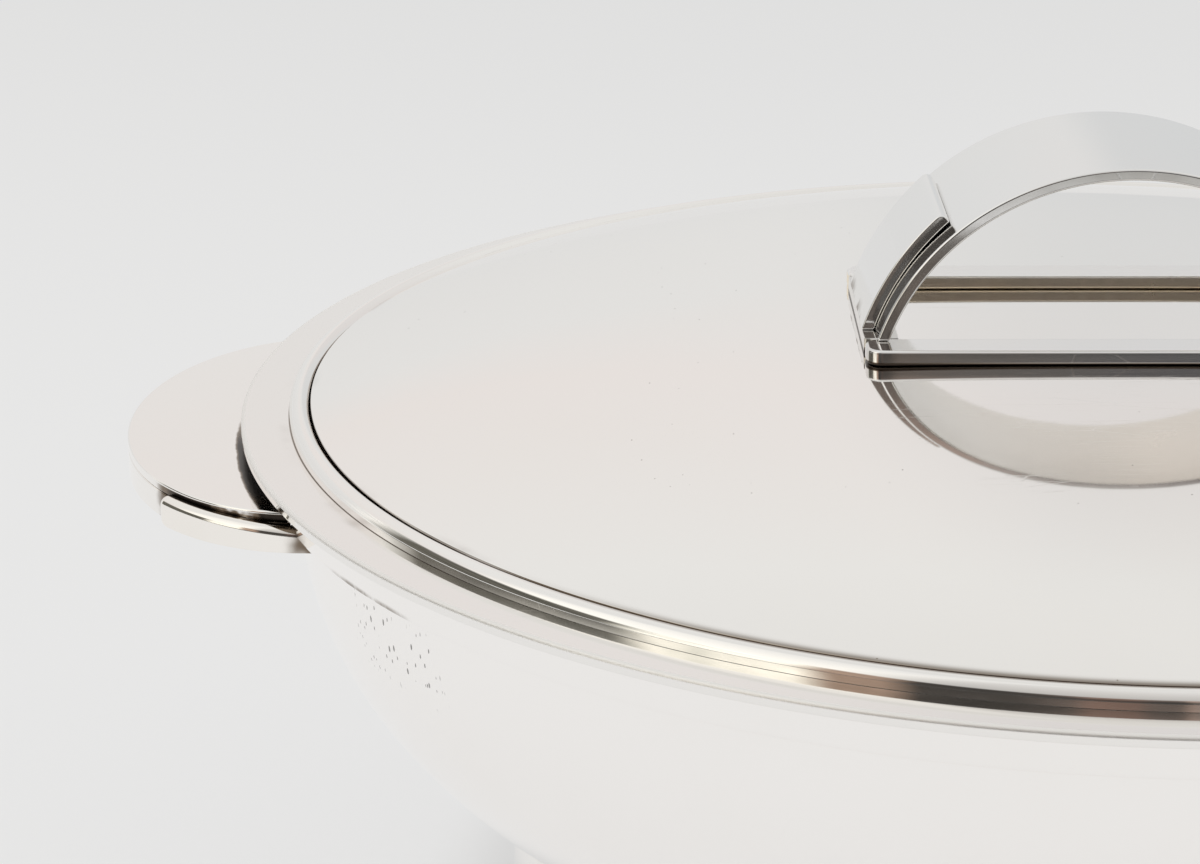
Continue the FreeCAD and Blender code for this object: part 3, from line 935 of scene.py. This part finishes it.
def assemble():
    plain = silver("silver_plain")
    bowl = silver("silver_bowl", roughness=0.07, wave=1.2, tone=BRIGHT_SILVER, crevices=bowl_crevice,
                  pits=bowl_pits)
    rim = silver("silver_rim", roughness=0.075, tone=RIM_SILVER, crevices=rim_crevice, brushed=rim_brushed)
    band = silver("silver_band", tone=BRIGHT_SILVER, crevices=band_crevice)
    dome = silver("silver_lid", wave=1.5, crevices=dome_crevice)
    bead = silver("silver_bead", roughness=0.07, crevices=bead_crevice)
    base = silver("silver_base", roughness=0.08, wave=1.6, tone=DULL_SILVER, stain=0.6, filed=0.35,
                  crevices=bar_crevice)
    ear = silver("silver_ear", crevices=ear_crevice)
    strap = silver("silver_ear_strap", roughness=0.07, wave=1.6, tone=CREAM_SILVER, stain=0.8,
                   crevices=strap_crevice)
    finial = silver("silver_finial", roughness=0.09, wave=1.6, tone=DULL_SILVER, filed=0.3,
                    crevices=leg_crevice)
    worn = silver("silver_worn", roughness=0.35, tone=WORN_SILVER, stain=0.6)
    # the back bar, with a painted gold reflection below its top
    gold_glint_base = silver("silver_base_back", roughness=0.26, wave=1.6, tone=DULL_SILVER, stain=0.6, filed=0.5,
                  low_tone=(BAR_HIGH.z - 0.2, GOLD_GLINT_SILVER))

    finish_piece(bowl_shell(), "bowl", "bowl_shell", bowl)
    finish_piece(bowl_rim(), "bowl", "bowl_rim", rim)
    finish_piece(bowl_band(), "bowl", "bowl_band", band)
    finish_piece(foot_ring(), "bowl", "foot_ring", plain)
    for side in ("left", "right"):
        finish_piece(ear_plate(side), "bowl", f"{side}_handle_plate", ear)
        finish_piece(ear_skirt(side), "bowl", f"{side}_handle_skirt", ear)
        for end in ("front", "back"):
            finish_piece(ear_strap(side, end), "bowl", f"{side}_handle_strap_{end}", strap)
        finish_piece(finial_strap(side), "lid", f"finial_strap_{side}", finial)
        finish_piece(finial_end(side), "lid", f"finial_end_{side}", base)
    finish_piece(lid_dome(), "lid", "lid_dome", dome)
    finish_piece(lid_bead(), "lid", "lid_bead", bead)
    finish_piece(lid_collar(), "collar", "lid_collar", plain)
    finish_piece(finial_arch(worn), "lid", "finial_arch", finial)
    finish_piece(finial_bar("front"), "lid", "finial_bar_front", base)
    finish_piece(finial_bar("back"), "lid", "finial_bar_back", gold_glint_base)


# ---------------------------------------------------------------- studio, in metres and degrees
TABLE_HALF = 6.0
TABLE_GREY = (0.22, 0.22, 0.22, 1.0)
TABLE_GLOW = 0.64           # light through the white table, so that shadows stay faint
TABLE_GLOW_FAR = 0.58
FOOT_SHADE = 0.18           # painted shadow: how far the table's glow falls off under the object
SHEEN = 0.025               # how much brighter the table is in the silver

GROUND_NEAR = -0.42         # the front of the white table, as the silver shows it
GROUND_FAR = -5.5
GROUND_HALF = 5.5

CAMERA_PLACE = Vector((-71.24, -469.85, 226.75)) * MM
CAMERA_TILT = 18.379        # below level
CAMERA_PAN = -0.083
CAMERA_LENS = 106.36        # millimetres
BACKDROP = (0.78, 0.78, 0.78)


def flat_sheet(name, x_half, y_low, y_high, height, material):
    """A level rectangle of the set."""
    corners = [(-x_half, y_low, height), (x_half, y_low, height),
               (x_half, y_high, height), (-x_half, y_high, height)]
    mesh = bpy.data.meshes.new(name)
    mesh.from_pydata(corners, [], [(0, 1, 2, 3)])
    mesh.materials.append(material)
    sheet = bpy.data.objects.new(name, mesh)
    bpy.context.scene.collection.objects.link(sheet)
    return sheet


def table_paper():
    """White paper lit from below, its glow painted dimmer towards the back and with a painted shadow under
    the object.
    """
    nodes = Surface("studio_paper")
    far = nodes.fade(nodes.plus(nodes.y, nodes.times(nodes.x, 0.4)), 0.0, 0.75)
    glow = nodes.minus(TABLE_GLOW, nodes.times(far, TABLE_GLOW - TABLE_GLOW_FAR))
    # painted shadow round the foot
    near_foot = nodes.fade_mm(nodes.radius, FOOT_HIGH.x + 20.0, FOOT_HIGH.x - 2.0)
    shade = nodes.times(near_foot, near_foot, FOOT_SHADE)
    glow = nodes.times(glow, nodes.minus(1.0, shade))
    in_silver = nodes.add("ShaderNodeLightPath").outputs["Is Glossy Ray"]
    glow = nodes.plus(glow, nodes.times(in_silver, SHEEN))
    return nodes.finish(nodes.add("ShaderNodeBsdfPrincipled", {
        "Base Color": TABLE_GREY, "Roughness": 0.9, "Specular IOR Level": 0.0,
        "Emission Strength": glow, "Emission Color": (1.0, 1.0, 1.0, 1.0)}))


def dim_ground():
    nodes = Surface("studio_dim_ground")
    away = nodes.fade(nodes.y, GROUND_NEAR, GROUND_NEAR - 0.33)
    glow = nodes.ramp(away, (0.0, (0.52, 0.51, 0.49)), (0.08, (0.34, 0.33, 0.31)),
                      (0.6, (0.17, 0.165, 0.155)), (1.0, (0.10, 0.095, 0.09)))
    return nodes.finish(nodes.add("ShaderNodeEmission", {"Color": glow, "Strength": 1.0}))


def studio_floor():
    floor = flat_sheet("studio_floor", TABLE_HALF, -TABLE_HALF, TABLE_HALF, 0.0, table_paper())


def studio_ground():
    """Dim ground beyond the front of the white table, seen only as a reflection in the silver."""
    ground = flat_sheet("studio_ground", GROUND_HALF, GROUND_FAR, GROUND_NEAR, 0.001, dim_ground())
    ground.visible_camera = False
    ground.visible_diffuse = False
    ground.visible_shadow = False


def tent_light(nodes, azimuth, elevation):
    """The white tent: dimmer in front and low at the right back, brighter at the left."""
    height = nodes.math("DIVIDE", elevation, 90.0)
    back = nodes.ramp(height, (0.0, (0.76, 0.76, 0.755)), (0.165, (0.79, 0.79, 0.785)),
                      (0.22, (0.825, 0.79, 0.775)), (0.45, (0.83, 0.83, 0.82)), (0.80, (0.775, 0.775, 0.765)))
    front = nodes.ramp(height, (0.35, (0.55, 0.54, 0.525)), (0.60, (0.66, 0.65, 0.635)),
                       (0.90, (0.77, 0.77, 0.76)))
    left = nodes.ramp(height, (0.30, (1.10, 1.08, 1.02)), (0.85, (0.84, 0.84, 0.83)))
    tent = nodes.mix(nodes.fade(nodes.absolute(azimuth), 75.0, 45.0), back, front)
    tent = nodes.mix(nodes.fade(nodes.absolute(nodes.plus(azimuth, 68.0)), 42.0, 22.0), tent, left)
    right_back = nodes.times(nodes.fade(azimuth, 178.5, 171.0), nodes.fade(azimuth, 60.0, 120.0))
    low = nodes.fade(elevation, 50.0, 20.0)
    dimmed = nodes.mix(1.0, tent, (0.905, 0.915, 0.925), "MULTIPLY")
    return nodes.mix(nodes.times(right_back, low), tent, dimmed)


def room_light(nodes, direction, azimuth, elevation):
    """The dim room in front of the tent, with warm and cool gleams, from the left round to the right."""
    white, gold, copper = (0.90, 0.89, 0.87), (1.12, 1.09, 1.00), (0.40, 0.29, 0.23)
    shade, deep = (0.12, 0.115, 0.10), (0.060, 0.055, 0.052)
    rust, brown, olive = (0.090, 0.068, 0.060), (0.25, 0.20, 0.175), (0.13, 0.12, 0.115)
    steel = (0.092, 0.092, 0.098)
    gleams = [(-121, white), (-113, shade), (-75, shade), (-68, gold), (-48, gold), (-43, copper),
              (-36, copper), (-31, deep), (-11.5, deep), (-9, rust), (-3, rust), (-1, deep), (3.8, deep),
              (4.6, brown), (5.6, olive), (10, steel), (24, deep), (34, white), (58, gold), (64, shade),
              (92, shade), (104, white)]
    turn = nodes.math("DIVIDE", nodes.plus(azimuth, 180.0), 360.0)
    room = nodes.ramp(turn, *[((degrees + 180) / 360, colour) for degrees, colour in gleams])
    stretched = nodes.add("ShaderNodeMapping", {"Vector": direction, "Scale": (3.0, 3.0, 26.0)}).outputs[0]
    streaks = nodes.ramp(nodes.noise(stretched, 1.6, 3.0, 0.6, 2.0), (0.34, (0.62, 0.64, 0.62)),
                         (0.66, (1.45, 1.42, 1.38)))
    room = nodes.mix(1.0, room, streaks, "MULTIPLY")
    ahead = nodes.fade(nodes.absolute(azimuth), 20.0, 8.0)
    lit_above = nodes.mix(1.0, room, (2.6, 2.3, 2.2), "MULTIPLY")
    return nodes.mix(nodes.times(nodes.fade(elevation, 19.0, 25.0), ahead), room, lit_above)


def studio_light():
    """A white tent lit from above, open towards the front to a dim room. Azimuth is 0 at the front."""
    world = bpy.data.worlds.new("studio_tent")
    bpy.context.scene.world = world
    world.use_nodes = True
    nodes = Nodes(world.node_tree)
    direction = nodes.add("ShaderNodeTexCoord").outputs["Generated"]
    x, y, z = nodes.add("ShaderNodeSeparateXYZ", {0: direction}).outputs[:3]
    elevation = nodes.times(nodes.math("ARCSINE", z), 180 / math.pi)
    azimuth = nodes.times(nodes.math("ARCTAN2", x, nodes.times(y, -1.0)), 180 / math.pi)
    tent = tent_light(nodes, azimuth, elevation)
    room = room_light(nodes, direction, azimuth, elevation)
    lower_at_left = nodes.times(nodes.fade(azimuth, -52.0, -78.0), 4.5)
    opening = nodes.fade(nodes.plus(elevation, lower_at_left), 31.0, 25.0)
    ahead = nodes.fade(nodes.absolute(nodes.plus(azimuth, 6.0)), 124.0, 112.0)
    seen = nodes.mix(nodes.times(opening, ahead), tent, room)
    to_camera = nodes.add("ShaderNodeLightPath").outputs["Is Camera Ray"]
    background = nodes.add("ShaderNodeBackground", {"Color": nodes.mix(to_camera, seen, BACKDROP),
                                                    "Strength": 1.0})
    nodes.add("ShaderNodeOutputWorld", {"Surface": background.outputs[0]})


def studio_camera():
    data = bpy.data.cameras.new("studio_camera")
    data.lens = CAMERA_LENS
    data.sensor_width = 36.0
    data.clip_start = 0.01
    camera = bpy.data.objects.new("studio_camera", data)
    camera.location = CAMERA_PLACE
    camera.rotation_euler = (math.radians(90 - CAMERA_TILT), 0.0, math.radians(CAMERA_PAN))
    bpy.context.scene.collection.objects.link(camera)
    bpy.context.scene.camera = camera
    bpy.context.scene.view_settings.view_transform = "Standard"


studio_camera()
studio_floor()
studio_ground()
studio_light()
assemble()
